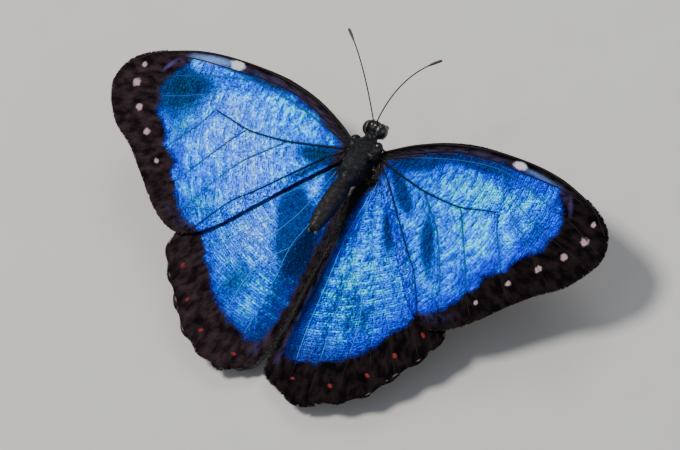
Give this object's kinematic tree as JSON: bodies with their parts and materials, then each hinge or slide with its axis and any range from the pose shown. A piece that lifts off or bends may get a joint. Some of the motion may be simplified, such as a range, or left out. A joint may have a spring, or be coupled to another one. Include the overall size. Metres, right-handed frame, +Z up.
{
  "type": "blue morpho butterfly",
  "caption": "Blue morpho butterfly at rest with its wings spread flat: iridescent blue wings with black-brown margins, slim dark body and clubbed feelers.",
  "frame": {"origin": "on the floor under the middle of the whole butterfly", "axes": "+Z up, head towards -Y, the animal's left wings towards +X"},
  "size_m": [0.1228, 0.074, 0.0258],
  "materials": {
    "wing": "iridescent blue scales with a soft satin sheen, black-brown margins and white-pink dots",
    "body": "matte black-brown hair with grey-white specks",
    "limb": "dark brown horny skin under fine scales",
    "eye": "glossy near-black, finely faceted",
    "clasper": "pale yellow, slightly satin"
  },
  "bodies": {
    "root": {"head": "body", "thorax": "body", "abdomen": "body", "proboscis": "limb", "eye_left": "eye", "antenna_left": "limb", "palp_left": "body", "clasper_left": "clasper", "forewing_left": "wing", "hindwing_left": "wing", "foreleg_left": "limb", "midleg_left": "limb", "hindleg_left": "limb", "eye_right": "eye", "antenna_right": "limb", "palp_right": "body", "clasper_right": "clasper", "forewing_right": "wing", "hindwing_right": "wing", "foreleg_right": "limb", "midleg_right": "limb", "hindleg_right": "limb"}
  },
  "joints": []
}
